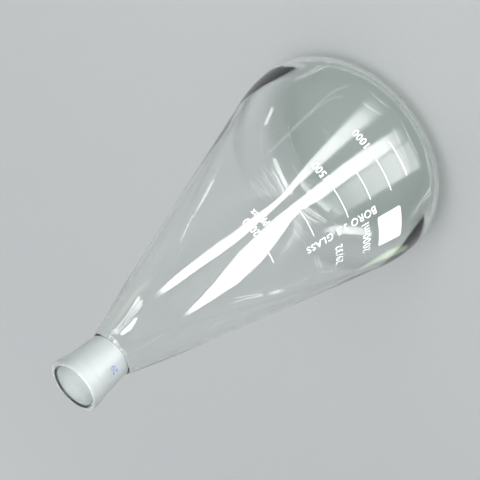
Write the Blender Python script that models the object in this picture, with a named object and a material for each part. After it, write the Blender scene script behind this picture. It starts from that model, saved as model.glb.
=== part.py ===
"""Two-litre conical flask in borosilicate glass, with a 29/32 ground socket fused to its neck.

The flask stands on its foot: the origin is the middle of that foot, +Z is up, and the
printed scale faces -Y. Sizes are in metres, angles in radians. The glass is two turned
pieces that meet at a weld, and every printed mark is a thin enamel solid wrapped round it.
"""

import math

import bmesh
import bpy
import numpy as np
from mathutils import Vector

# Ground socket: 29.2 mm across at the mouth, 32 mm long, tapering 1 in 10
BORE_MOUTH_RADIUS = 0.0146
BORE_LENGTH = 0.0320
BORE_TAPER = 0.1  # diameter lost for each unit of length
SOCKET_WALL = 0.0022  # at the weld
SOCKET_TOP_WALL = 0.0029  # just under the collar
COLLAR_WALL = 0.0042  # at the mouth
COLLAR_HEIGHT = 0.0067
COLLAR_RISE = 0.0014  # height in which the wall swells out to the collar
RIM_ROUND = 0.0011  # fire-polished outer edge
MOUTH_CHAMFER = 0.0006

# Blown body
BODY_RADIUS = 0.0808  # outside, at the widest level
BODY_HEIGHT = 0.2620  # foot to weld
WALL = 0.0022  # measured level
HEEL_WALL = 0.0040  # the glass gathers in the heel
WALL_THINS = 0.0300  # height over the heel in which it thins to the wall
FLOOR = 0.0035
HEEL_WIDTH = 0.0180  # level run of the rounded heel
HEEL_HEIGHT = 0.0240  # rise of the rounded heel
KNEE_RISE = 0.0120  # from the heel up to where the cone's line meets the widest radius
SHOULDER_RADIUS = 0.0253  # where the cone bends in towards the neck
SHOULDER_DROP = 0.0300  # that bend, below the weld
SHOULDER_EASE = 0.0240  # how far the bend is eased each way
FOOT_WIDTH = 0.0080  # flat ring that stands on the table
PUNT = 0.0025  # rise of the bottom inside the ring

# Enamel print
ENAMEL = 0.00015  # thickness as fired
PRINT_GAP = 0.0002  # between the glass and the enamel
INK = 0.0001  # the size stamp is thinner
LINE_WEIGHT = 0.0008
LETTER_SPACING = 1.1

# Distances round the body are measured at its widest level, from the middle of the front.
LONG_LINE = (-0.0423, -0.0090)  # both ends
SHORT_LINE = (-0.0395, -0.0126)
GRADUATIONS = (  # millilitres, height up the wall, ends
    (750, 0.0434, SHORT_LINE),
    (1000, 0.0580, LONG_LINE),
    (1250, 0.0742, SHORT_LINE),
    (1500, 0.0935, LONG_LINE),
    (1750, 0.1204, SHORT_LINE),
    (2000, 0.1525, SHORT_LINE),
)
PANEL_START = -0.0852
PANEL_WIDTH = 0.0248
PANEL_HEIGHT = 0.0195
PANEL_BOTTOM = 0.0545
PANEL_ROUND = 0.0015

# Words and numbers: node name, text, size of the letters, printed length, start round
# the body, height of the baseline, and whether the words run up the wall.
BLOCKS = (
    ("numeral_1000", "1000", 0.0082, 0.0137, -0.0060, 0.0551, False),
    ("numeral_1500", "1500", 0.0082, 0.0134, -0.0058, 0.0906, False),
    ("numeral_2000", "2000", 0.0078, 0.0127, -0.0046, 0.1492, False),
    ("approx_letter", "approx", 0.0074, 0.0156, -0.0060, 0.1420, False),
    ("capacity_glyph", "2000ml", 0.0090, 0.0238, -0.0846, 0.0804, False),
    ("joint_glyph", "29/32", 0.0086, 0.0156, -0.0818, 0.1028, False),
    ("glass_glyph", "BORO 3.3 GLASS", 0.0066, 0.0578, -0.0458, 0.0729, True),
)
STAMP_RISE = 0.0087  # baseline of the size stamp above the foot of the socket
STAMP_START = -0.0106  # round the socket, measured at the weld

SEGMENTS = 64
WELD_GAP = 0.0003
MERGE = 1e-5
SHARP_ANGLE = math.radians(30)
FACET = 0.0030  # widest flat strip in a mark that wraps round the glass
ONE = ((0.20, 0), (0.30, 0), (0.30, 0.68), (0.23, 0.68), (0.09, 0.57), (0.09, 0.48), (0.20, 0.56))

SOCKET_FOOT = BODY_HEIGHT + WELD_GAP
TOP = SOCKET_FOOT + BORE_LENGTH
BORE_END_RADIUS = BORE_MOUTH_RADIUS - BORE_LENGTH * BORE_TAPER / 2
WELD_RADIUS = BORE_END_RADIUS + SOCKET_WALL
COLLAR_RADIUS = BORE_MOUTH_RADIUS + COLLAR_WALL
HEEL_CENTRE = BODY_RADIUS - HEEL_WIDTH
STAMP = ("stamp_digit", "29", 0.0060, 0.0052, STAMP_START, SOCKET_FOOT + STAMP_RISE, False)


def clear_scene():
    for item in list(bpy.data.objects):
        bpy.data.objects.remove(item)


def add_object(name, bm, material):
    """A scene object from the mesh built in bm, with its faces pointing out."""
    bmesh.ops.recalc_face_normals(bm, faces=bm.faces)
    mesh = bpy.data.meshes.new(name)
    bm.to_mesh(mesh)
    bm.free()
    mesh.materials.append(material)
    mesh.shade_smooth()
    mesh.set_sharp_from_angle(angle=SHARP_ANGLE)
    item = bpy.data.objects.new(name, mesh)
    bpy.context.scene.collection.objects.link(item)
    return item


def make_material(name, colour, roughness, transmission=0.0):
    material = bpy.data.materials.new(name)
    material.use_nodes = True
    shader = material.node_tree.nodes["Principled BSDF"]
    shader.inputs["Base Color"].default_value = (*colour, 1.0)
    shader.inputs["Roughness"].default_value = roughness
    shader.inputs["Metallic"].default_value = 0.0
    shader.inputs["Transmission Weight"].default_value = transmission
    return material


def arc(centre, across, up, start, end, steps):
    """Points on an ellipse from the angle start to end, measured from straight down."""
    points = []
    for step in range(steps + 1):
        angle = start + (end - start) * step / steps
        points.append(centre + Vector((across * math.sin(angle), -up * math.cos(angle))))
    return points


def eased_bend(before, corner, after, ease, steps):
    """The corner on the line before-corner-after, rounded from ease before it to ease after it."""
    start = corner + (before - corner).normalized() * ease
    end = corner + (after - corner).normalized() * ease
    points = []
    for step in range(steps + 1):
        t = step / steps
        points.append(start * (1 - t) ** 2 + corner * 2 * t * (1 - t) + end * t**2)
    return points


def heel_side(inset, bottom):
    """Radius and height from the foot round to the widest level, which is left out."""
    centre = Vector((HEEL_CENTRE, HEEL_HEIGHT))
    across = HEEL_WIDTH - inset
    up = HEEL_HEIGHT - bottom
    return arc(centre, across, up, start=0, end=math.pi / 2, steps=8)[:-1]


def wall_side():
    """Radius and height of the outside from the widest level up to the weld."""
    widest = Vector((BODY_RADIUS, HEEL_HEIGHT))
    knee = Vector((BODY_RADIUS, HEEL_HEIGHT + KNEE_RISE))
    shoulder = Vector((SHOULDER_RADIUS, BODY_HEIGHT - SHOULDER_DROP))
    weld = Vector((WELD_RADIUS, BODY_HEIGHT))
    return [
        *eased_bend(widest, knee, shoulder, KNEE_RISE, steps=4),
        *eased_bend(knee, shoulder, weld, SHOULDER_EASE, steps=5),
        weld,
    ]


def wall_inside():
    """The same, one wall further in: thick at the heel, thinning to the plain wall."""
    points = []
    for point in wall_side():
        risen = min(1, (point.y - HEEL_HEIGHT) / WALL_THINS)
        thickness = HEEL_WALL + (WALL - HEEL_WALL) * risen * risen * (3 - 2 * risen)
        points.append(Vector((point.x - thickness, point.y)))
    return points


def body_bottom(lift):
    """Radius and height of the bottom from the axis out to the foot ring."""
    ring = HEEL_CENTRE - FOOT_WIDTH
    points = []
    steps = 5
    for step in range(steps + 1):
        share = step / steps
        points.append(Vector((ring * share, lift + PUNT * (1 + math.cos(math.pi * share)) / 2)))
    return points


def bore_radius(height):
    return BORE_MOUTH_RADIUS - (TOP - height) * BORE_TAPER / 2


def socket_side():
    """Radius and height up the outside of the socket, from the weld to the rim."""
    collar_foot = TOP - COLLAR_HEIGHT
    swell_foot = collar_foot - COLLAR_RISE
    neck = bore_radius(swell_foot) + SOCKET_TOP_WALL
    points = [Vector((WELD_RADIUS, SOCKET_FOOT))]
    steps = 6
    for step in range(steps + 1):
        t = step / steps
        swell = t * t * (3 - 2 * t)
        points.append(Vector((neck + (COLLAR_RADIUS - neck) * swell, swell_foot + COLLAR_RISE * t)))
    edge = Vector((COLLAR_RADIUS - RIM_ROUND, TOP - RIM_ROUND))
    points += arc(edge, RIM_ROUND, RIM_ROUND, start=math.pi / 2, end=math.pi, steps=3)
    return points


def turn(profile, closed):
    """The mesh of a profile of radius and height turned once round the axis."""
    bm = bmesh.new()
    ring = [bm.verts.new((point.x, 0, point.y)) for point in profile]
    edges = [bm.edges.new(pair) for pair in zip(ring, ring[1:])]
    if closed:
        edges.append(bm.edges.new((ring[-1], ring[0])))
    bmesh.ops.spin(
        bm,
        geom=ring + edges,
        cent=(0, 0, 0),
        axis=(0, 0, 1),
        angle=2 * math.pi,
        steps=SEGMENTS,
    )
    bmesh.ops.remove_doubles(bm, verts=bm.verts, dist=MERGE)
    return bm


def flask_body(glass):
    outside = body_bottom(0) + heel_side(0, 0) + wall_side()
    inside = body_bottom(FLOOR) + heel_side(HEEL_WALL, FLOOR) + wall_inside()
    add_object("flask_body", turn(outside + inside[::-1], closed=False), glass)


def ground_socket(glass):
    mouth = [
        Vector((BORE_MOUTH_RADIUS + MOUTH_CHAMFER, TOP)),
        Vector((bore_radius(TOP - MOUTH_CHAMFER), TOP - MOUTH_CHAMFER)),
        Vector((BORE_END_RADIUS, SOCKET_FOOT)),
    ]
    add_object("ground_socket", turn(socket_side() + mouth, closed=True), glass)


def surface(side):
    """The outer radius at any height, for the outline given."""
    heights = [point.y for point in side]
    radii = [point.x for point in side]
    return lambda height: float(np.interp(height, heights, radii))


def lean(radius_at, height):
    """How much of a step up the wall is a step straight up."""
    step = 0.001
    inward = (radius_at(height - step) - radius_at(height + step)) / (2 * step)
    return 1 / math.hypot(1, inward)


def cut_into_strips(bm):
    """Level and upright cuts that let a flat shape follow the round of the glass."""
    for normal in (Vector((1, 0, 0)), Vector((0, 1, 0))):
        reach = [vert.co.dot(normal) for vert in bm.verts]
        strips = math.ceil((max(reach) - min(reach)) / FACET)
        for strip in range(1, strips):
            plane = normal * (min(reach) + (max(reach) - min(reach)) * strip / strips)
            whole = bm.verts[:] + bm.edges[:] + bm.faces[:]
            bmesh.ops.bisect_plane(bm, geom=whole, plane_co=plane, plane_no=normal)


def wrap(name, bm, material, radius_at, datum, start, height, upward=False, depth=ENAMEL):
    """Thickens a flat shape and lays it on the glass, x round it and y up it, or x up it."""
    cut_into_strips(bm)
    bmesh.ops.triangulate(bm, faces=bm.faces)
    skin = bmesh.ops.extrude_face_region(bm, geom=bm.faces[:])
    for vert in [part for part in skin["geom"] if isinstance(part, bmesh.types.BMVert)]:
        vert.co.z = depth
    rise = lean(radius_at, height)
    for vert in bm.verts:
        across, along = (-vert.co.y, vert.co.x) if upward else (vert.co.x, vert.co.y)
        level = height + along * rise
        radius = radius_at(level)
        angle = start / datum + across / radius
        radius += PRINT_GAP + vert.co.z
        vert.co = (radius * math.sin(angle), -radius * math.cos(angle), level)
    add_object(name, bm, material)


def outline_mesh(points):
    """A flat face inside a closed outline."""
    bm = bmesh.new()
    bm.faces.new([bm.verts.new((x, y, 0)) for x, y in points])
    return bm


def text_mesh(text):
    """The flat letters of a text, one unit high."""
    curve = bpy.data.curves.new(text, type="FONT")
    curve.body = text
    curve.resolution_u = 2
    curve.space_character = LETTER_SPACING
    item = bpy.data.objects.new(text, curve)
    bpy.context.scene.collection.objects.link(item)
    mesh = bpy.data.meshes.new_from_object(item.evaluated_get(bpy.context.evaluated_depsgraph_get()))
    bpy.data.objects.remove(item)
    bm = bmesh.new()
    bm.from_mesh(mesh)
    return bm


def letters_of(bm):
    """The letters of a text as lists of faces, each a list of corners, from left to right."""
    waiting = set(bm.faces)
    letters = []
    while waiting:
        front = [waiting.pop()]
        letter = list(front)
        while front:
            beside = {near for edge in front.pop().edges for near in edge.link_faces}
            fresh = [face for face in beside if face in waiting]
            waiting.difference_update(fresh)
            front += fresh
            letter += fresh
        letters.append([[corner.co.copy() for corner in face.verts] for face in letter])
    return sorted(letters, key=lambda faces: min(corner.x for face in faces for corner in face))


def letter_mesh(faces, left, wide, size):
    """One letter of a text at its printed size."""
    bm = bmesh.new()
    for corners in faces:
        bm.faces.new([bm.verts.new(((corner.x - left) * wide, corner.y * size, 0)) for corner in corners])
    bmesh.ops.remove_doubles(bm, verts=bm.verts, dist=MERGE)
    return bm


def print_block(block, material, radius_at, datum, depth):
    """Prints a block of text, one object for each letter."""
    name, text, size, length, start, height, upward = block
    bm = text_mesh(text)
    letters = letters_of(bm)
    bm.free()
    for index, character in enumerate(text.replace(" ", "")):
        if character == "1":
            pitch = min(corner.x for face in letters[index] for corner in face) - ONE[0][0]
            letters[index] = [[Vector((x + pitch, y, 0)) for x, y in ONE]]
    ends = [corner.x for faces in letters for face in faces for corner in face]
    wide = length / (max(ends) - min(ends))
    for index, faces in enumerate(letters):
        letter = letter_mesh(faces, min(ends), wide, size)
        wrap(f"{name}_{index + 1}", letter, material, radius_at, datum, start, height, upward, depth)


def graduation_lines(enamel, radius_at):
    for millilitres, height, (start, end) in GRADUATIONS:
        length = (end - start) * radius_at(height) / BODY_RADIUS
        line = ((0, 0), (length, 0), (length, LINE_WEIGHT), (0, LINE_WEIGHT))
        bottom = height - LINE_WEIGHT / 2
        name = f"graduation_{millilitres}"
        wrap(name, outline_mesh(line), enamel, radius_at, BODY_RADIUS, start, bottom)


def writing_panel(enamel, radius_at):
    """A solid white patch for notes, with rounded corners."""
    inner = Vector((PANEL_WIDTH / 2 - PANEL_ROUND, PANEL_HEIGHT / 2 - PANEL_ROUND))
    outline = []
    for turns, (side, level) in enumerate(((1, -1), (1, 1), (-1, 1), (-1, -1))):
        centre = Vector((PANEL_WIDTH / 2 + side * inner.x, PANEL_HEIGHT / 2 + level * inner.y))
        start = turns * math.pi / 2
        outline += arc(centre, PANEL_ROUND, PANEL_ROUND, start, start + math.pi / 2, steps=3)
    panel = outline_mesh(outline)
    wrap("writing_panel", panel, enamel, radius_at, BODY_RADIUS, PANEL_START, PANEL_BOTTOM)


def main():
    clear_scene()
    clear_glass = make_material("borosilicate_glass", (0.82, 0.88, 0.85), 0.03, transmission=1.0)
    ground_glass = make_material("ground_glass", (0.80, 0.82, 0.81), 0.45, transmission=0.6)
    enamel = make_material("white_enamel", (0.90, 0.91, 0.90), 0.4)
    ink = make_material("blue_ink", (0.25, 0.33, 0.62), 0.6)

    flask_body(clear_glass)
    ground_socket(ground_glass)

    body_radius_at = surface(wall_side())
    graduation_lines(enamel, body_radius_at)
    writing_panel(enamel, body_radius_at)
    for block in BLOCKS:
        print_block(block, enamel, body_radius_at, BODY_RADIUS, ENAMEL)

    socket_radius_at = surface(socket_side())
    print_block(STAMP, ink, socket_radius_at, WELD_RADIUS, INK)


main()
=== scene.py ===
import math

import bmesh
import bpy
import numpy as np
from mathutils import Matrix, Vector, noise


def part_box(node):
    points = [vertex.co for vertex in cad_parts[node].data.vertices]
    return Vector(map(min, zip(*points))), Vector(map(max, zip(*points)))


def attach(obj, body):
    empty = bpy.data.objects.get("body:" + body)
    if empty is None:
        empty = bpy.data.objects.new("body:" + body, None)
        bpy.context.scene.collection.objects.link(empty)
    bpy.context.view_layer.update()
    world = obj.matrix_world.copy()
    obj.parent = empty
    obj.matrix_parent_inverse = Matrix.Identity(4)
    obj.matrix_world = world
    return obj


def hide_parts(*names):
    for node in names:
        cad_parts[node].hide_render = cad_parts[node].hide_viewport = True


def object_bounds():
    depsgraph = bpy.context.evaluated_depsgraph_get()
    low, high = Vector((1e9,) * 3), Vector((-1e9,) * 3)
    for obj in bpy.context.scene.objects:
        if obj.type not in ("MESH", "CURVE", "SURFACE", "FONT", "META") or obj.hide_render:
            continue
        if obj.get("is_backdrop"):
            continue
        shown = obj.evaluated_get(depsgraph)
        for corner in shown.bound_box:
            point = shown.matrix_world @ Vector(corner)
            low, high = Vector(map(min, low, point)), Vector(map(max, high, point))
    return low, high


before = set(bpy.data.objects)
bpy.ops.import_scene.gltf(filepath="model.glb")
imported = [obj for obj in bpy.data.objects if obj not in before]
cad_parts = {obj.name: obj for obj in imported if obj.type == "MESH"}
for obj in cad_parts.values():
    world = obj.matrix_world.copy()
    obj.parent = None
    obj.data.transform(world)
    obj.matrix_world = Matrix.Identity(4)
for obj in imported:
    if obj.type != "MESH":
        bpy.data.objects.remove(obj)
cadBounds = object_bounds()

# Every length is in metres. The flask stands on its foot at the origin and its print faces -Y.
# "Round" is an angle about the axis, 0 at the front and growing towards +X.


def hexColour(code, alpha=1.0):
    # sRGB hex to the linear values that shaders take
    parts = [int(code[i : i + 2], 16) / 255 for i in (1, 3, 5)]
    linear = [c / 12.92 if c <= 0.04045 else ((c + 0.055) / 1.055) ** 2.4 for c in parts]
    return (*linear, alpha)


def perMetre(millimetres):
    # a pattern's scale, from the real size of what it draws
    return 1000 / millimetres


def addNode(tree, kind, inputs=None, **settings):
    # adds a node, sets it, and fills its sockets with values or with links from other sockets
    node = tree.nodes.new(kind)
    for name, value in settings.items():
        setattr(node, name, value)
    for name, value in (inputs or {}).items():
        if isinstance(value, bpy.types.NodeSocket):
            tree.links.new(value, node.inputs[name])
        else:
            node.inputs[name].default_value = value
    return node


def newMaterial(name):
    material = bpy.data.materials.new(name)
    material.use_nodes = True
    material.node_tree.nodes.clear()
    return material, material.node_tree


def finishMaterial(tree, shader, volume=None):
    output = addNode(tree, "ShaderNodeOutputMaterial", {"Surface": shader.outputs[0]})
    if volume:
        tree.links.new(volume.outputs[0], output.inputs["Volume"])


def lettingLampsThrough(tree, shader, straight, skimming):
    # Light on its way to another surface goes straight through the glass, less of it where it
    # skims the wall, so the flask throws a pale shadow with a darker outline.
    path = addNode(tree, "ShaderNodeLightPath")
    onItsWay = addNode(
        tree,
        "ShaderNodeMath",
        {0: path.outputs["Is Shadow Ray"], 1: path.outputs["Is Diffuse Ray"]},
        operation="MAXIMUM",
    )
    lean = addNode(tree, "ShaderNodeLayerWeight", {"Blend": 0.35})
    tone = addNode(
        tree,
        "ShaderNodeMix",
        {"Factor": lean.outputs["Facing"], 6: hexColour(straight), 7: hexColour(skimming)},
        data_type="RGBA",
    )
    clear = addNode(tree, "ShaderNodeBsdfTransparent", {"Color": tone.outputs[2]})
    return addNode(
        tree,
        "ShaderNodeMixShader",
        {0: onItsWay.outputs[0], 1: shader.outputs[0], 2: clear.outputs[0]},
    )


def borosilicateGlass():
    # Blown borosilicate glass, fire polished: sharp reflections that waver a little along the
    # drawn length, a breath of haze where hands have been, and green only where it is thick.
    material, tree = newMaterial("borosilicateGlass")
    place = addNode(tree, "ShaderNodeTexCoord").outputs["Object"]
    drawn = addNode(tree, "ShaderNodeMapping", {"Vector": place, "Scale": (1, 1, 0.22)})
    cords = addNode(
        tree,
        "ShaderNodeTexNoise",
        {"Vector": drawn.outputs[0], "Scale": perMetre(11.1), "Detail": 2.0, "Roughness": 0.45},
    )  # cords 11 mm apart, drawn out up the wall
    relief = addNode(
        tree,
        "ShaderNodeBump",
        {"Height": cords.outputs["Fac"], "Strength": 0.35, "Distance": 0.00012},
    )
    hands = addNode(
        tree,
        "ShaderNodeTexNoise",
        {"Vector": place, "Scale": perMetre(45.5), "Detail": 4.0, "Roughness": 0.6},
    )  # smears the width of a hand's edge
    haze = addNode(
        tree,
        "ShaderNodeMapRange",
        {
            "Value": hands.outputs["Fac"],
            "From Min": 0.45,
            "From Max": 0.75,
            "To Min": 0.0,
            "To Max": 0.06,
        },
    )
    shader = addNode(
        tree,
        "ShaderNodeBsdfPrincipled",
        {
            "Base Color": hexColour("#FDFFFE"),
            "Roughness": haze.outputs[0],
            "IOR": 1.473,
            "Transmission Weight": 1.0,
            "Normal": relief.outputs[0],
        },
    )
    tint = addNode(
        tree, "ShaderNodeVolumeAbsorption", {"Color": hexColour("#D4E2DA"), "Density": 6.0}
    )
    finishMaterial(tree, lettingLampsThrough(tree, shader, "#FDFFFE", "#C4C9C6"), tint)
    return material


def groundBore():
    # The same glass lapped with grit: a fine even frost that scatters light, so the taper
    # reads milky white, with faint rings left by the turning lap.
    material, tree = newMaterial("groundBore")
    place = addNode(tree, "ShaderNodeTexCoord").outputs["Object"]
    rings = addNode(tree, "ShaderNodeMapping", {"Vector": place, "Scale": (1, 1, 9)})
    lap = addNode(
        tree,
        "ShaderNodeTexNoise",
        {"Vector": rings.outputs[0], "Scale": perMetre(6.25), "Detail": 3.0, "Roughness": 0.6},
    )  # the lap's rings, under a millimetre apart once the mapping has squeezed them
    grit = addNode(
        tree,
        "ShaderNodeTexNoise",
        {"Vector": place, "Scale": perMetre(0.385), "Detail": 2.0, "Roughness": 0.7},
    )  # 0.1 mm grit is too fine to show, so it is drawn nearly four times as coarse
    both = addNode(
        tree,
        "ShaderNodeMath",
        {0: lap.outputs["Fac"], 1: grit.outputs["Fac"]},
        operation="ADD",
    )
    relief = addNode(
        tree,
        "ShaderNodeBump",
        {"Height": both.outputs[0], "Strength": 0.5, "Distance": 0.00006},
    )
    tone = addNode(
        tree,
        "ShaderNodeMix",
        {
            "Factor": lap.outputs["Fac"],
            6: hexColour("#BFC3C3"),
            7: hexColour("#CFD3D3"),
        },
        data_type="RGBA",
    )
    shader = addNode(
        tree,
        "ShaderNodeBsdfPrincipled",
        {
            "Base Color": tone.outputs[2],
            "Roughness": 0.62,
            "IOR": 1.473,
            "Transmission Weight": 0.5,
            "Normal": relief.outputs[0],
        },
    )
    finishMaterial(tree, lettingLampsThrough(tree, shader, "#E8ECEA", "#ACB0AE"))
    return material


def satinGlass():
    # The socket's outside, dulled by the lapping chuck: clear glass under a fine satin skin,
    # so lights spread into a soft sheen and the frost behind shows through as even grey.
    material, tree = newMaterial("satinGlass")
    place = addNode(tree, "ShaderNodeTexCoord").outputs["Object"]
    wear = addNode(
        tree,
        "ShaderNodeTexNoise",
        {"Vector": place, "Scale": perMetre(8.33), "Detail": 3.0, "Roughness": 0.55},
    )  # wear in patches as wide as a fingertip's touch
    dull = addNode(
        tree,
        "ShaderNodeMapRange",
        {
            "Value": wear.outputs["Fac"],
            "From Min": 0.35,
            "From Max": 0.65,
            "To Min": 0.34,
            "To Max": 0.44,
        },
    )
    shader = addNode(
        tree,
        "ShaderNodeBsdfPrincipled",
        {
            "Base Color": hexColour("#F6F8F8"),
            "Roughness": dull.outputs[0],
            "IOR": 1.473,
            "Transmission Weight": 1.0,
        },
    )
    finishMaterial(tree, lettingLampsThrough(tree, shader, "#F2F4F4", "#C0C4C3"))
    return material


def firedEnamel():
    # White ceramic enamel, screened and fired: dense white, satin, with a slight mesh mottle.
    material, tree = newMaterial("firedEnamel")
    place = addNode(tree, "ShaderNodeTexCoord").outputs["Object"]
    mottle = addNode(
        tree,
        "ShaderNodeTexNoise",
        {"Vector": place, "Scale": perMetre(0.555), "Detail": 3.0, "Roughness": 0.6},
    )  # the screen's 0.15 mm mesh is too fine to show, so it is drawn coarser
    tone = addNode(
        tree,
        "ShaderNodeMix",
        {"Factor": mottle.outputs["Fac"], 6: hexColour("#EEF1F1"), 7: hexColour("#FBFCFC")},
        data_type="RGBA",
    )
    relief = addNode(
        tree,
        "ShaderNodeBump",
        {"Height": mottle.outputs["Fac"], "Strength": 0.4, "Distance": 0.00004},
    )
    shader = addNode(
        tree,
        "ShaderNodeBsdfPrincipled",
        {
            "Base Color": tone.outputs[2],
            "Roughness": 0.38,
            "IOR": 1.5,
            "Normal": relief.outputs[0],
        },
    )
    finishMaterial(tree, shader)
    return material


def stampInk():
    # Thin blue stamping ink, worn by handling: patchy, darkest in the middle of the strokes.
    material, tree = newMaterial("stampInk")
    place = addNode(tree, "ShaderNodeTexCoord").outputs["Object"]
    wear = addNode(
        tree,
        "ShaderNodeTexNoise",
        {"Vector": place, "Scale": perMetre(1.11), "Detail": 3.0, "Roughness": 0.6},
    )  # rubbed spots of about a millimetre
    tone = addNode(
        tree,
        "ShaderNodeMix",
        {"Factor": wear.outputs["Fac"], 6: hexColour("#5F6CAA"), 7: hexColour("#A6B0D6")},
        data_type="RGBA",
    )
    shader = addNode(
        tree,
        "ShaderNodeBsdfPrincipled",
        {"Base Color": tone.outputs[2], "Roughness": 0.6},
    )
    finishMaterial(tree, shader)
    return material


def studioPaper():
    # Seamless background paper: matte and pale, with the faintest fibre.
    material, tree = newMaterial("studioPaper")
    place = addNode(tree, "ShaderNodeTexCoord").outputs["Object"]
    fibre = addNode(
        tree, "ShaderNodeTexNoise", {"Vector": place, "Scale": perMetre(3.33), "Detail": 3.0}
    )  # clouds of fibre, 3 mm across
    tone = addNode(
        tree,
        "ShaderNodeMix",
        {"Factor": fibre.outputs["Fac"], 6: hexColour("#CDCFD0"), 7: hexColour("#D1D3D4")},
        data_type="RGBA",
    )
    shader = addNode(
        tree, "ShaderNodeBsdfPrincipled", {"Base Color": tone.outputs[2], "Roughness": 0.9}
    )
    finishMaterial(tree, shader)
    return material


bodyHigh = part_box("flask_body")[1]
socketLow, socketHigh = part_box("ground_socket")
print("frame loaded: flask", round(socketHigh.z * 1000, 1), "mm tall")

bodyShape = dict(
    widest=bodyHigh.x - 0.0001,  # leaves room for the unevenness
    weld=socketLow.z - 0.00005,  # fused to the socket, with a hair between the two meshes
    heelWidth=0.0180,
    heelHeight=0.0240,
    heelSteps=28,
    kneeRise=0.0120,  # the bend from the heel into the cone
    kneeSteps=14,
    shoulderRadius=0.0253,  # where the cone's line meets the line in to the weld
    shoulderDrop=0.0300,
    shoulderEase=0.0240,
    shoulderSteps=16,
    weldRadius=0.0152,
    wall=0.0022,
    wallStep=0.0040,  # longest straight stretch of the cone
    heelWall=0.0040,
    wallThins=0.0300,  # the rise over which the heel's glass thins to the wall's
    floor=0.0035,
    footWidth=0.0080,
    punt=0.0025,
    bottomSteps=24,
    edge=0.0002,
)
roundSteps = 256
edgeSteps = 3  # in the small round of each fused edge


def arc(centre, across, up, start, end, steps):
    # part of an ellipse, its angle measured from straight down and growing outwards
    angles = [start + (end - start) * i / steps for i in range(steps + 1)]
    return [(centre[0] + across * math.sin(a), centre[1] - up * math.cos(a)) for a in angles]


def easedBend(before, corner, after, ease, steps):
    before, corner, after = Vector(before), Vector(corner), Vector(after)
    start = corner + (before - corner).normalized() * ease
    end = corner + (after - corner).normalized() * ease
    points = []
    for i in range(steps + 1):
        t = i / steps
        points.append(tuple(start * (1 - t) ** 2 + corner * 2 * t * (1 - t) + end * t * t))
    return points


def spread(points, step):
    # adds points along straight runs, so that no stretch is longer than step
    full = [points[0]]
    for a, b in zip(points, points[1:]):
        count = max(1, math.ceil(math.dist(a, b) / step))
        for i in range(1, count + 1):
            full.append(tuple(a[k] + (b[k] - a[k]) * i / count for k in (0, 1)))
    return full


def wallOutside(shape):
    widest = (shape["widest"], shape["heelHeight"])
    knee = (shape["widest"], shape["heelHeight"] + shape["kneeRise"])
    shoulder = (shape["shoulderRadius"], shape["weld"] - shape["shoulderDrop"])
    weld = (shape["weldRadius"], shape["weld"])
    return [
        *easedBend(widest, knee, shoulder, shape["kneeRise"], shape["kneeSteps"]),
        *easedBend(knee, shoulder, weld, shape["shoulderEase"], shape["shoulderSteps"]),
        weld,
    ]


def thicknessAt(shape, height):
    risen = min(1, max(0, (height - shape["heelHeight"]) / shape["wallThins"]))
    thinning = risen * risen * (3 - 2 * risen)
    return shape["heelWall"] + (shape["wall"] - shape["heelWall"]) * thinning


def bottomLine(shape, lift):
    # from the top of the punt down to the foot ring
    ring = shape["widest"] - shape["heelWidth"] - shape["footWidth"]
    points = []
    for i in range(shape["bottomSteps"] + 1):
        share = i / shape["bottomSteps"]
        points.append((ring * share, lift + shape["punt"] * (1 + math.cos(math.pi * share)) / 2))
    return points


def heelLine(shape, inset, bottom):
    centre = (shape["widest"] - shape["heelWidth"], shape["heelHeight"])
    across, up = shape["heelWidth"] - inset, shape["heelHeight"] - bottom
    return arc(centre, across, up, 0, math.pi / 2, shape["heelSteps"])[:-1]


def bodyLoop(shape):
    # from the middle of the bottom out and up the outside, then back down the inside
    outside = spread(wallOutside(shape), shape["wallStep"])
    inside = [(r - thicknessAt(shape, z), z) for r, z in outside]
    edge = shape["edge"]
    level = shape["weld"] - edge
    quarter = math.pi / 2
    lipOut = arc((outside[-1][0] - edge, level), edge, edge, quarter, 2 * quarter, edgeSteps)
    lipIn = arc((inside[-1][0] + edge, level), edge, edge, 2 * quarter, 3 * quarter, edgeSteps)
    return [
        *bottomLine(shape, 0),
        *heelLine(shape, 0, 0),
        *outside[:-1],
        *lipOut,
        *lipIn,
        *reversed(inside[:-1]),
        *reversed(heelLine(shape, shape["heelWall"], shape["floor"])),
        *reversed(bottomLine(shape, shape["floor"])),
    ]


socketShape = dict(
    foot=socketLow.z,
    top=socketHigh.z,
    collar=socketHigh.x,
    collarHeight=0.0067,
    collarRise=0.0014,  # over which the side swells out to the collar
    collarSteps=14,
    mouth=0.0146,
    taper=0.1,  # of the bore's width, for its length
    footWall=0.0022,
    topWall=0.0029,
    rimRound=0.0017,
    rimSteps=8,
    mouthRound=0.0013,
    mouthSteps=6,
    clearLip=0.0008,  # the bore's top stays clear
    step=0.0020,
    edge=0.0002,
)


def boreRadius(shape, height):
    return shape["mouth"] - (shape["top"] - height) * shape["taper"] / 2


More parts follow.
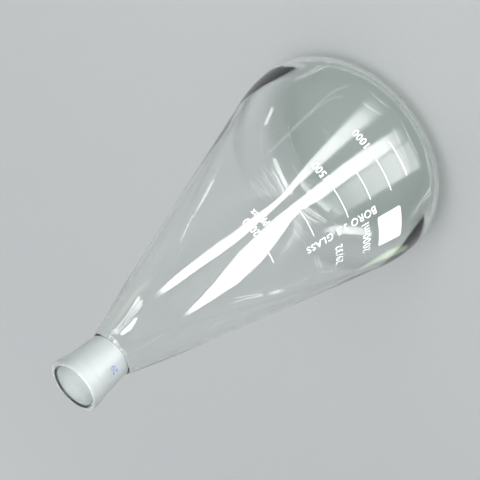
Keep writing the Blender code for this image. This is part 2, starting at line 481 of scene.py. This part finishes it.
def socketLoop(shape):
    # up the outside from the weld, over the rim and back down the bore
    swellFoot = shape["top"] - shape["collarHeight"] - shape["collarRise"]
    neck = boreRadius(shape, swellFoot) + shape["topWall"]
    footRadius = boreRadius(shape, shape["foot"]) + shape["footWall"]
    swell = []
    for i in range(shape["collarSteps"] + 1):
        t = i / shape["collarSteps"]
        ease = t * t * (3 - 2 * t)
        swell.append((neck + (shape["collar"] - neck) * ease, swellFoot + shape["collarRise"] * t))
    turn, lip, edge, top = shape["rimRound"], shape["mouthRound"], shape["edge"], shape["top"]
    quarter, step = math.pi / 2, shape["step"]
    footIn = boreRadius(shape, shape["foot"])
    level = shape["foot"] + edge
    rimCentre = (shape["collar"] - turn, top - turn)
    outside = [
        *arc((footRadius - edge, level), edge, edge, 0, quarter, edgeSteps),
        *spread([(footRadius, level), swell[0]], step)[1:-1],
        *swell,
        *arc(rimCentre, turn, turn, quarter, 2 * quarter, shape["rimSteps"]),
    ]
    lipCentre = (shape["mouth"] + lip, top - lip)
    lipLine = arc(lipCentre, lip, lip, 2 * quarter, 3 * quarter, shape["mouthSteps"])
    groundTop = top - shape["clearLip"]
    bore = [
        *spread([(boreRadius(shape, groundTop), groundTop), (footIn, level)], step),
        *arc((footIn + edge, level), edge, edge, 3 * quarter, 4 * quarter, edgeSteps)[1:-1],
    ]
    return outside, lipLine, bore


# Blown glass is never quite true: how far its faces waver, over what share of the round and
# what length of the wall, and where the wavering dies out.
unevenness = dict(
    outside=dict(seed=3.1, size=0.00016, across=0.9, along=0.09),
    inside=dict(seed=8.6, size=0.00030, across=0.7, along=0.07),
    foot=0.004,
    ease=0.02,  # height over which it sets in above the foot and dies out below the weld
    middle=0.03,  # the same on the inside of the bottom, out from its middle
)


def waver(angle, height, seed, size, across, along):
    x, y = math.cos(angle) / across, math.sin(angle) / across
    return size * noise.noise(Vector((x + seed, y - seed, height / along + seed * 1.7)))


def latheLoop(name, loop, closed, offset=None, slotOf=None):
    # turns a loop of radius and height about the axis; offset(index, angle) moves a point out
    bm = bmesh.new()
    rings = []
    for index, (radius, height) in enumerate(loop):
        if radius < 1e-9:
            rings.append([bm.verts.new((0, 0, height))])
            continue
        ring = []
        for i in range(roundSteps):
            angle = 2 * math.pi * i / roundSteps
            r = radius + (offset(index, angle) if offset else 0)
            ring.append(bm.verts.new((r * math.sin(angle), -r * math.cos(angle), height)))
        rings.append(ring)
    pairs = list(zip(range(len(rings)), range(1, len(rings))))
    if closed:
        pairs.append((len(rings) - 1, 0))
    for a, b in pairs:
        low, high = rings[a], rings[b]
        for i in range(roundSteps):
            j = (i + 1) % roundSteps
            corners = [low[i % len(low)], low[j % len(low)], high[j % len(high)], high[i % len(high)]]
            face = bm.faces.new(list(dict.fromkeys(corners)))
            face.smooth = True
            face.material_index = slotOf(a) if slotOf else 0
    bmesh.ops.recalc_face_normals(bm, faces=bm.faces)
    mesh = bpy.data.meshes.new(name)
    bm.to_mesh(mesh)
    bm.free()
    piece = bpy.data.objects.new(name, mesh)
    bpy.context.scene.collection.objects.link(piece)
    return piece


def calm(height):
    # 0 at the weld and the foot, 1 between them
    below = max(0, (bodyShape["weld"] - height) / unevenness["ease"])
    above = max(0, (height - unevenness["foot"]) / unevenness["ease"])
    return min(1, below, above)


def outsideWaver(angle, height):
    return calm(height) * waver(angle, height, **unevenness["outside"])


def blownBody(glass):
    shape = bodyShape
    loop = bodyLoop(shape)
    turnBack = next(i for i, p in enumerate(loop) if p[1] >= shape["weld"] - 1e-9)

    def offset(index, angle):
        radius, height = loop[index]
        if index <= turnBack:
            return outsideWaver(angle, height)
        inside = waver(angle, height, **unevenness["inside"])
        return calm(height) * min(1, radius / unevenness["middle"]) * inside

    piece = latheLoop("blownBody", loop, False, offset)
    piece.data.materials.append(glass)
    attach(piece, "root")
    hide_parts("flask_body")


def groundSocket(glass, ground, satin):
    outside, lipLine, bore = socketLoop(socketShape)
    groundFrom = len(outside) + len(lipLine)
    groundTo = groundFrom + len(bore) - edgeSteps

    def slotOf(index):
        # satin outside, frosted bore, and clear where the flame has rounded an edge
        if edgeSteps <= index < len(outside):
            return 2
        return 1 if groundFrom <= index < groundTo else 0

    piece = latheLoop("groundSocket", outside + lipLine + bore, True, slotOf=slotOf)
    for material in (glass, ground, satin):
        piece.data.materials.append(material)
    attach(piece, "root")
    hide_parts("ground_socket")


printShape = dict(
    lift=0.00003,  # the enamel has sunk into the glass, so it starts just above it
    thickness=0.00012,
    facet=0.0012,  # widest flat strip round the wall
    grain=0.000004,  # corners nearer than this are one, so a cut leaves no slivers
    bold=0.014,  # letters thickened, in units of their size
    spacing=1.1,
    curveSteps=8,
    lineShare=0.68,  # of the CAD line's weight, since enamel thins out at its edges
    lineSteps=10,  # in each round end of a line
    panelRound=0.0015,
    panelSteps=8,
)
oneStem = 0.25  # middle of the stem of this outline of a 1
oneOutline = (
    (0.19, 0), (0.31, 0), (0.31, 0.69), (0.23, 0.69), (0.08, 0.59), (0.08, 0.49), (0.19, 0.55)
)

# piece, text, what its CAD nodes' names begin with, whether it runs up the wall
textMarks = (
    ("numeral1000", "1000", "numeral_1000", False),
    ("numeral1500", "1500", "numeral_1500", False),
    ("numeral2000", "2000", "numeral_2000", False),
    ("approxWord", "approx", "approx_letter", False),
    ("capacityText", "2000ml", "capacity_glyph", False),
    ("jointText", "29/32", "joint_glyph", False),
    ("glassText", "BORO 3.3 GLASS", "glass_glyph", True),
)


def wallRadius(height):
    outline = wallOutside(bodyShape)
    return float(np.interp(height, [p[1] for p in outline], [p[0] for p in outline]))


def socketRadius(height):
    outside = socketLoop(socketShape)[0]
    side = [p for p in outside if p[1] < socketShape["top"] - socketShape["collarHeight"]]
    return float(np.interp(height, [p[1] for p in side], [p[0] for p in side]))


def nodeSpan(names):
    # how far the CAD marks reach round the glass and up it
    rounds, heights = [], []
    for name in names:
        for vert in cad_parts[name].data.vertices:
            rounds.append(math.atan2(vert.co.x, -vert.co.y))
            heights.append(vert.co.z)
    return min(rounds), max(rounds), min(heights), max(heights)


def flatText(text):
    curve = bpy.data.curves.new(text, type="FONT")
    curve.body = text
    curve.resolution_u = printShape["curveSteps"]
    curve.offset = printShape["bold"]
    curve.space_character = printShape["spacing"]
    item = bpy.data.objects.new(text, curve)
    bpy.context.scene.collection.objects.link(item)
    mesh = bpy.data.meshes.new_from_object(item.evaluated_get(bpy.context.evaluated_depsgraph_get()))
    bpy.data.objects.remove(item)
    bm = bmesh.new()
    bm.from_mesh(mesh)
    return bm


def flagOnes(bm, text):
    # the plain font draws 1 as a bar, so each gets its flag
    if "1" not in text:
        return
    waiting, islands = set(bm.verts), []
    while waiting:
        front = [waiting.pop()]
        island = list(front)
        while front:
            here = front.pop()
            near = [edge.other_vert(here) for edge in here.link_edges]
            fresh = [vert for vert in near if vert in waiting]
            waiting.difference_update(fresh)
            front += fresh
            island += fresh
        islands.append(island)
    islands.sort(key=lambda island: min(v.co.x for v in island))
    for character, island in zip(text.replace(" ", ""), islands):
        if character == "1":
            left = (min(v.co.x for v in island) + max(v.co.x for v in island)) / 2 - oneStem
            bmesh.ops.delete(bm, geom=island, context="VERTS")
            bm.faces.new([bm.verts.new((left + x, y, 0)) for x, y in oneOutline])


def unfold(bm):
    # Where a bold letter's outline crosses itself, two faces lie on the same side of an edge,
    # and the smaller one goes.
    folds = [edge for edge in bm.edges if len(edge.link_faces) == 2 and not edge.is_contiguous]
    small = {min(edge.link_faces, key=lambda face: face.calc_area()) for edge in folds}
    bmesh.ops.delete(bm, geom=list(small), context="FACES")


def stripCuts(bm, step):
    # cuts a flat shape into strips both ways, so that it can bend round the wall
    for normal in (Vector((1, 0, 0)), Vector((0, 1, 0))):
        reach = [vert.co.dot(normal) for vert in bm.verts]
        low, high = min(reach), max(reach)
        count = math.ceil((high - low) / step)
        for i in range(1, count):
            where = normal * (low + (high - low) * i / count)
            whole = bm.verts[:] + bm.edges[:] + bm.faces[:]
            bmesh.ops.bisect_plane(
                bm, geom=whole, dist=printShape["grain"], plane_co=where, plane_no=normal
            )


def withoutSlivers(bm, grain):
    # triangles of a flat shape, with the specks and slivers that the cuts left merged away
    bmesh.ops.remove_doubles(bm, verts=bm.verts, dist=grain)
    bmesh.ops.triangulate(bm, faces=bm.faces)
    bmesh.ops.dissolve_degenerate(bm, edges=bm.edges, dist=grain)
    bmesh.ops.triangulate(bm, faces=bm.faces)
    loose = [vert for vert in bm.verts if not vert.link_faces]
    bmesh.ops.delete(bm, geom=loose, context="VERTS")


def layOnGlass(name, bm, span, upward, radiusAt, material, nodes):
    # stretches a flat shape over the span that the CAD marks cover and thickens it off the glass
    left, right, bottom, top = span
    middle = radiusAt((bottom + top) / 2)
    width, rise = (right - left) * middle, top - bottom
    xs, ys = [v.co.x for v in bm.verts], [v.co.y for v in bm.verts]
    lowX, lowY = min(xs), min(ys)
    sizeX, sizeY = max(xs) - lowX, max(ys) - lowY
    if upward:
        for vert in bm.verts:
            x, y = (vert.co.x - lowX) / sizeX, (vert.co.y - lowY) / sizeY
            vert.co = ((1 - y) * width, x * rise, 0)
    else:
        for vert in bm.verts:
            vert.co = ((vert.co.x - lowX) / sizeX * width, (vert.co.y - lowY) / sizeY * rise, 0)
    unfold(bm)
    stripCuts(bm, printShape["facet"])
    withoutSlivers(bm, printShape["grain"])
    skin = bmesh.ops.extrude_face_region(bm, geom=bm.faces[:])
    for vert in [part for part in skin["geom"] if isinstance(part, bmesh.types.BMVert)]:
        vert.co.z = printShape["thickness"]
    for vert in bm.verts:
        height = bottom + vert.co.y
        angle = left + vert.co.x / middle
        radius = radiusAt(height)
        if radiusAt is wallRadius:
            radius += outsideWaver(angle, height)
        radius += printShape["lift"] + vert.co.z
        vert.co = (radius * math.sin(angle), -radius * math.cos(angle), height)
    mesh = bpy.data.meshes.new(name)
    bm.to_mesh(mesh)
    bm.free()
    piece = bpy.data.objects.new(name, mesh)
    bpy.context.scene.collection.objects.link(piece)
    mesh.materials.append(material)
    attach(piece, "root")
    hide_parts(*nodes)


def textMark(name, text, prefix, upward, radiusAt, material):
    nodes = sorted(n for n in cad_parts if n.startswith(prefix + "_"))
    bm = flatText(text)
    flagOnes(bm, text)
    layOnGlass(name, bm, nodeSpan(nodes), upward, radiusAt, material, nodes)


def graduationLine(name, node, enamel):
    # a screened line has round ends
    left, right, low, high = nodeSpan([node])
    length = (right - left) * wallRadius(low)
    half = (high - low) / 2 * printShape["lineShare"]
    middle, steps = (low + high) / 2, printShape["lineSteps"]
    ends = arc((length - half, half), half, half, 0, math.pi, steps)
    starts = arc((half, half), half, half, math.pi, 2 * math.pi, steps)
    bm = bmesh.new()
    bm.faces.new([bm.verts.new((x, y, 0)) for x, y in ends + starts])
    span = (left, right, middle - half, middle + half)
    layOnGlass(name, bm, span, False, wallRadius, enamel, [node])


def writingPanel(enamel):
    span = nodeSpan(["writing_panel"])
    width = (span[1] - span[0]) * wallRadius((span[2] + span[3]) / 2)
    height = span[3] - span[2]
    corner = printShape["panelRound"]
    outline = []
    for turns, (x, y) in enumerate(((1, -1), (1, 1), (-1, 1), (-1, -1))):
        centre = (width / 2 + x * (width / 2 - corner), height / 2 + y * (height / 2 - corner))
        start = turns * math.pi / 2
        outline += arc(centre, corner, corner, start, start + math.pi / 2, printShape["panelSteps"])
    bm = bmesh.new()
    bm.faces.new([bm.verts.new((x, y, 0)) for x, y in outline])
    nodes = ["writing_panel"]
    layOnGlass("writingPanel", bm, span, False, wallRadius, enamel, nodes)


stageShape = dict(
    radius=6.0,
    horizon="#A4A8AA",
    sky="#E2E5E7",
    skyFrom=0.9,  # of the way up
    skyLight=0.45,
)
lightShape = dict(
    topPlace=(0.3, -0.9, 2.1),
    topAim=(0.0, 0.0, 0.1),
    topSize=1.3,
    topPower=26.0,
    backPlace=(0.0, 2.0, 0.92),
    backAim=(0.0, 0.0, 0.2),
    backSize=(2.4, 0.25),
    backPower=14.0,
    radiance=14.0,
    farthest=1.3,  # a glowing sheet lies low out to here, then stands up
    clearance=0.004,  # and how low it lies
    streakGrid=(20, 72),
    streakFade=0.06,  # share of a streak's length over which it fades in and out
    ribGrid=(32, 6),
    ribFade=0.3,
    ribSoft=0.4,  # share of a rib's thickness that is a soft edge
    ribBow=0.0015,
    white="#FFFFFF",
    green="#C9E2BE",
)
# Each sheet of light is given by the streak that it makes on the wall: height, round from and
# to in degrees, share of the radiance, and how much of the half width is a soft edge.
streaks = dict(
    leftStreak=(
        (0.226, 18.0, 24.0, 1.0, 0.2),
        (0.215, 13.0, 22.5, 1.0, 0.15),
        (0.200, 9.0, 19.5, 1.0, 0.15),
        (0.180, 5.0, 15.5, 1.0, 0.15),
        (0.160, 3.0, 11.5, 1.0, 0.2),
        (0.140, 3.5, 8.5, 0.9, 0.2),
        (0.122, 4.0, 7.0, 0.8, 0.3),
        (0.110, 4.5, 9.5, 0.65, 0.4),
        (0.090, 3.5, 12.0, 0.6, 0.5),
        (0.060, 3.0, 13.5, 0.52, 0.6),
        (0.028, 1.0, 15.5, 0.28, 0.8),
    ),
    rightStreak=(
        (0.221, -24.5, -22.5, 1.0, 0.2),
        (0.210, -25.5, -17.5, 1.0, 0.15),
        (0.200, -26.0, -14.5, 1.0, 0.1),
        (0.180, -26.5, -7.5, 1.0, 0.1),
        (0.160, -22.5, -3.5, 1.0, 0.15),
        (0.150, -18.5, -2.5, 1.0, 0.2),
        (0.140, -14.5, -1.5, 1.0, 0.2),
        (0.130, -11.0, -1.5, 0.9, 0.25),
        (0.118, -9.0, -2.0, 0.8, 0.3),
        (0.100, -12.0, -2.5, 0.85, 0.35),
        (0.080, -12.5, -2.5, 0.8, 0.4),
        (0.060, -13.5, -4.0, 0.72, 0.4),
        (0.028, -15.0, -5.0, 0.5, 0.6),
    ),
    dimStreak=(
        (0.105, -28.0, -12.0, 0.0, 0.4),
        (0.085, -28.5, -11.0, 0.2, 0.4),
        (0.060, -29.0, -11.5, 0.32, 0.35),
        (0.028, -30.0, -13.0, 0.45, 0.3),
    ),
    wordStreak=(
        (0.110, -30.5, -27.0, 0.3, 0.6),
        (0.103, -36.5, -29.0, 0.5, 0.6),
        (0.095, -41.5, -33.5, 0.5, 0.6),
        (0.087, -46.5, -38.5, 0.4, 0.7),
        (0.078, -52.0, -45.0, 0.25, 0.7),
    ),
    faintLine=(
        (0.108, 32.5, 34.2, 0.1, 0.5),
        (0.075, 30.5, 31.9, 0.14, 0.5),
        (0.045, 28.0, 29.4, 0.16, 0.5),
        (0.032, 23.0, 25.5, 0.12, 0.5),
    ),
    leftChip=((0.087, 47.0, 49.5, 0.3, 0.7), (0.071, 50.5, 54.0, 0.3, 0.7)),
    neckOuter=(
        (0.261, 32.0, 44.0, 0.8, 0.4),
        (0.254, 32.5, 35.5, 0.8, 0.7),
        (0.244, 33.5, 36.0, 0.8, 0.7),
        (0.230, 35.5, 42.0, 1.0, 0.7),
    ),
    neckInner=(
        (0.261, 24.0, 33.0, 0.9, 0.4),
        (0.254, 26.5, 28.5, 0.8, 0.6),
        (0.244, 27.0, 29.0, 0.8, 0.6),
        (0.231, 28.5, 33.5, 1.0, 0.6),
    ),
    neckPatch=(
        (0.257, 16.0, 22.0, 0.9, 0.3),
        (0.250, 10.0, 21.0, 1.0, 0.3),
        (0.242, 17.0, 21.0, 0.9, 0.3),
    ),
    thinRight=((0.188, -40.5, -39.0, 0.35, 0.6), (0.165, -51.5, -49.5, 0.5, 0.6)),
    thinLeft=((0.186, 43.0, 44.5, 0.25, 0.6), (0.166, 50.0, 51.5, 0.4, 0.6)),
    flankStreak=(
        (0.164, 49.0, 51.0, 0.25, 0.7),
        (0.150, 52.0, 54.5, 0.4, 0.7),
        (0.136, 55.5, 58.0, 0.25, 0.7),
    ),
    flankSmudge=(
        (0.161, -55.0, -50.0, 0.1, 0.8),
        (0.155, -57.5, -52.0, 0.25, 0.8),
        (0.149, -59.0, -55.0, 0.15, 0.8),
    ),
    thinNeck=((0.254, -28.0, -26.5, 0.12, 0.6), (0.234, -29.5, -28.0, 0.2, 0.6)),
)
# A green wall beside the bench, which only the steep edge of the glass picks up.
sideGlow = (
    (0.090, -79.0, -76.0, 0.0, 0.8),
    (0.078, -80.0, -71.0, 0.06, 0.8),
    (0.062, -81.0, -67.0, 0.11, 0.7),
    (0.050, -81.0, -69.0, 0.12, 0.7),
    (0.040, -80.0, -73.0, 0.05, 0.8),
)
# Ribs of the lights' cloth, mirrored as thin arcs: round and height of both ends, thickness,
# share of the radiance.
ribs = (
    (2.0, 0.1215, 26.0, 0.1125, 0.0022, 0.75),
    (6.0, 0.1255, 32.0, 0.1160, 0.0016, 0.3),
    (7.0, 0.1290, 30.0, 0.1225, 0.0014, 0.2),
    (8.0, 0.1325, 33.0, 0.1275, 0.0014, 0.14),
    (-7.0, 0.1190, -23.0, 0.1125, 0.0022, 0.7),
    (-9.0, 0.1265, -27.0, 0.1225, 0.0014, 0.22),
    (-11.0, 0.1310, -29.0, 0.1270, 0.0014, 0.14),
    (34.0, 0.1120, 51.0, 0.0860, 0.0012, 0.12),
    (-41.0, 0.1215, -56.0, 0.1185, 0.0024, 0.2),
    (16.0, 0.0275, 2.0, 0.0255, 0.0012, 0.5),
    (-3.0, 0.0255, -28.0, 0.0285, 0.0012, 0.5),
)

cameraShape = dict(
    place=(0.0, -0.7781, 0.6703),
    aim=(0.0024, 0.0, 0.1316),
    roll=-130.34,
    lens=106.2,
    sensor=36.0,
    sees=50.0,
)


def paperFloor():
    bm = bmesh.new()
    bmesh.ops.create_circle(bm, cap_ends=True, segments=96, radius=stageShape["radius"])
    mesh = bpy.data.meshes.new("paperFloor")
    bm.to_mesh(mesh)
    bm.free()
    floor = bpy.data.objects.new("paperFloor", mesh)
    bpy.context.scene.collection.objects.link(floor)
    mesh.materials.append(studioPaper())
    floor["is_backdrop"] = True


def softLight(name, place, aim, wide, tall, power):
    light = bpy.data.lights.new(name, type="AREA")
    light.shape = "RECTANGLE"
    light.size = wide
    light.size_y = tall
    light.energy = power
    light.color = hexColour(lightShape["white"])[:3]
    lamp = bpy.data.objects.new(name, light)
    bpy.context.scene.collection.objects.link(lamp)
    lamp.location = place
    lamp.rotation_euler = (Vector(aim) - Vector(place)).to_track_quat("-Z", "Y").to_euler()


def wallPoint(turn, height):
    radius = wallRadius(height) + outsideWaver(turn, height)
    return Vector((radius * math.sin(turn), -radius * math.cos(turn), height))


def sheetPoint(turn, height):
    # where the camera's sight of this point of the wall goes when the glass mirrors it
    point = wallPoint(turn, height)
    rise, swing = 0.001, 0.02  # far enough either way to feel the wall's slope
    up = wallPoint(turn, height + rise) - wallPoint(turn, height - rise)
    along = wallPoint(turn + swing, height) - wallPoint(turn - swing, height)
    normal = along.cross(up).normalized()
    sight = (point - Vector(cameraShape["place"])).normalized()
    mirrored = sight.reflect(normal)
    reach = lightShape["farthest"]
    if mirrored.z < 0:
        reach = min(reach, (height - lightShape["clearance"]) / -mirrored.z)
    return point + mirrored * reach


def fade(value, width):
    # 0 at an edge, rising smoothly to 1 at the given width from it
    t = min(1, max(0, value / max(width, 0.001)))
    return t * t * (3 - 2 * t)


def glowSheet(name, grid, pointAt, levelAt, tint):
    # a sheet of light that lies low or stands around the flask, and is mirrored as a streak
    across, along = grid
    bm = bmesh.new()
    glow = bm.verts.layers.float.new("glow")
    lines = []
    for j in range(along + 1):
        line = []
        for i in range(across + 1):
            vert = bm.verts.new(pointAt(i / across, j / along))
            vert[glow] = levelAt(i / across, j / along)
            line.append(vert)
        lines.append(line)
    for low, high in zip(lines, lines[1:]):
        for i in range(across):
            bm.faces.new((low[i], high[i], high[i + 1], low[i + 1]))
    mesh = bpy.data.meshes.new(name)
    bm.to_mesh(mesh)
    bm.free()
    sheet = bpy.data.objects.new(name, mesh)
    bpy.context.scene.collection.objects.link(sheet)
    mesh.materials.append(glowingCloth(tint))
    sheet.visible_camera = False
    sheet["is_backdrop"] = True


def streakSheet(name, rows, tint):
    columns = list(zip(*reversed(rows)))
    heights = columns[0]

    def rowAt(v):
        height = heights[0] + (heights[-1] - heights[0]) * v
        return height, *[float(np.interp(height, heights, column)) for column in columns[1:]]

    def pointAt(u, v):
        height, low, high = rowAt(v)[:3]
        return sheetPoint(math.radians(low + (high - low) * u), height)

    def levelAt(u, v):
        level, soft = rowAt(v)[3:]
        return level * fade(min(v, 1 - v), lightShape["streakFade"]) * fade(min(u, 1 - u), soft / 2)

    glowSheet(name, lightShape["streakGrid"], pointAt, levelAt, tint)


def ribSheet(name, startRound, startHeight, endRound, endHeight, thick, level):
    # always from the lower turn to the higher, so that its lit side is up
    start, end = sorted(((startRound, startHeight), (endRound, endHeight)))
    shape = lightShape

    def pointAt(u, v):
        turn = start[0] + (end[0] - start[0]) * u
        height = start[1] + (end[1] - start[1]) * u + shape["ribBow"] * math.sin(math.pi * u)
        return sheetPoint(math.radians(turn), height + thick * (v - 0.5))

    def levelAt(u, v):
        return level * fade(min(u, 1 - u), shape["ribFade"]) * fade(min(v, 1 - v), shape["ribSoft"])

    glowSheet(name, shape["ribGrid"], pointAt, levelAt, shape["white"])


def glowingCloth(tint):
    # Diffusion cloth lit from behind: a plain even glow, fading at its edges. It shines from
    # one side and hides nothing behind it.
    name = "glowingCloth" + tint[1:]
    if name in bpy.data.materials:
        return bpy.data.materials[name]
    material, tree = newMaterial(name)
    level = addNode(tree, "ShaderNodeAttribute", attribute_name="glow")
    side = addNode(tree, "ShaderNodeNewGeometry")
    power = addNode(
        tree,
        "ShaderNodeMath",
        {0: level.outputs["Fac"], 1: lightShape["radiance"]},
        operation="MULTIPLY",
    )
    facing = addNode(
        tree, "ShaderNodeMath", {0: 1.0, 1: side.outputs["Backfacing"]}, operation="SUBTRACT"
    )
    both = addNode(
        tree,
        "ShaderNodeMath",
        {0: power.outputs[0], 1: facing.outputs[0]},
        operation="MULTIPLY",
    )
    lit = addNode(
        tree, "ShaderNodeEmission", {"Color": hexColour(tint), "Strength": both.outputs[0]}
    )
    see = addNode(tree, "ShaderNodeBsdfTransparent")
    finishMaterial(tree, addNode(tree, "ShaderNodeAddShader", {0: lit.outputs[0], 1: see.outputs[0]}))
    return material


def studioLights():
    shape = lightShape
    size = shape["topSize"]
    softLight("topSoftbox", shape["topPlace"], shape["topAim"], size, size, shape["topPower"])
    wide, tall = shape["backSize"]
    softLight("backSoftbox", shape["backPlace"], shape["backAim"], wide, tall, shape["backPower"])
    for name, rows in streaks.items():
        streakSheet(name, rows, shape["white"])
    streakSheet("sideGlow", sideGlow, shape["green"])
    for number, rib in enumerate(ribs):
        ribSheet(f"rib{number + 1}", *rib)


def studioWorld():
    # a plain room: dim at the bench, lighter overhead
    world = bpy.data.worlds.new("studioWorld")
    bpy.context.scene.world = world
    world.use_nodes = True
    tree = world.node_tree
    tree.nodes.clear()
    place = addNode(tree, "ShaderNodeTexCoord").outputs["Generated"]
    parts = addNode(tree, "ShaderNodeSeparateXYZ", {"Vector": place})
    rise = addNode(
        tree,
        "ShaderNodeMapRange",
        {
            "Value": parts.outputs["Z"],
            "From Min": 0.0,
            "From Max": stageShape["skyFrom"],
            "To Min": 0.0,
            "To Max": 1.0,
        },
    )
    tone = addNode(
        tree,
        "ShaderNodeMix",
        {
            "Factor": rise.outputs[0],
            6: hexColour(stageShape["horizon"]),
            7: hexColour(stageShape["sky"]),
        },
        data_type="RGBA",
    )
    glow = addNode(
        tree,
        "ShaderNodeBackground",
        {"Color": tone.outputs[2], "Strength": stageShape["skyLight"]},
    )
    addNode(tree, "ShaderNodeOutputWorld", {"Surface": glow.outputs[0]})


def plainView():
    scene = bpy.context.scene
    scene.view_settings.view_transform = "Standard"
    bounces = 24  # enough for light that is caught inside the thick heel
    scene.cycles.max_bounces = bounces
    scene.cycles.transmission_bounces = bounces
    scene.cycles.transparent_max_bounces = bounces


def viewCamera():
    shape = cameraShape
    lens = bpy.data.cameras.new("viewCamera")
    lens.sensor_width = shape["sensor"]
    lens.lens = shape["lens"]
    lens.clip_end = shape["sees"]
    camera = bpy.data.objects.new("viewCamera", lens)
    bpy.context.scene.collection.objects.link(camera)
    place, aim = Vector(shape["place"]), Vector(shape["aim"])
    camera.location = place
    look = (aim - place).to_track_quat("-Z", "Y").to_matrix().to_4x4()
    roll = Matrix.Rotation(math.radians(shape["roll"]), 4, "Z")
    camera.rotation_euler = (look @ roll).to_euler()
    bpy.context.scene.camera = camera


glass = borosilicateGlass()
ground = groundBore()
satin = satinGlass()
enamel = firedEnamel()
ink = stampInk()

blownBody(glass)
groundSocket(glass, ground, satin)
print("glass: body and socket turned")

for millilitres in (750, 1000, 1250, 1500, 1750, 2000):
    graduationLine(f"line{millilitres}", f"graduation_{millilitres}", enamel)
writingPanel(enamel)
for name, text, prefix, upward in textMarks:
    textMark(name, text, prefix, upward, wallRadius, enamel)
textMark("sizeStamp", "29", "stamp_digit", False, socketRadius, ink)
print("print: scale, panel and words laid on")

paperFloor()
studioLights()
studioWorld()
plainView()
viewCamera()
print("stage: floor, lights and camera set")

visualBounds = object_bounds()
sides = {"cad": cadBounds, "visual": visualBounds}
{k: [list(map(float, corner)) for corner in v] for k, v in sides.items()}
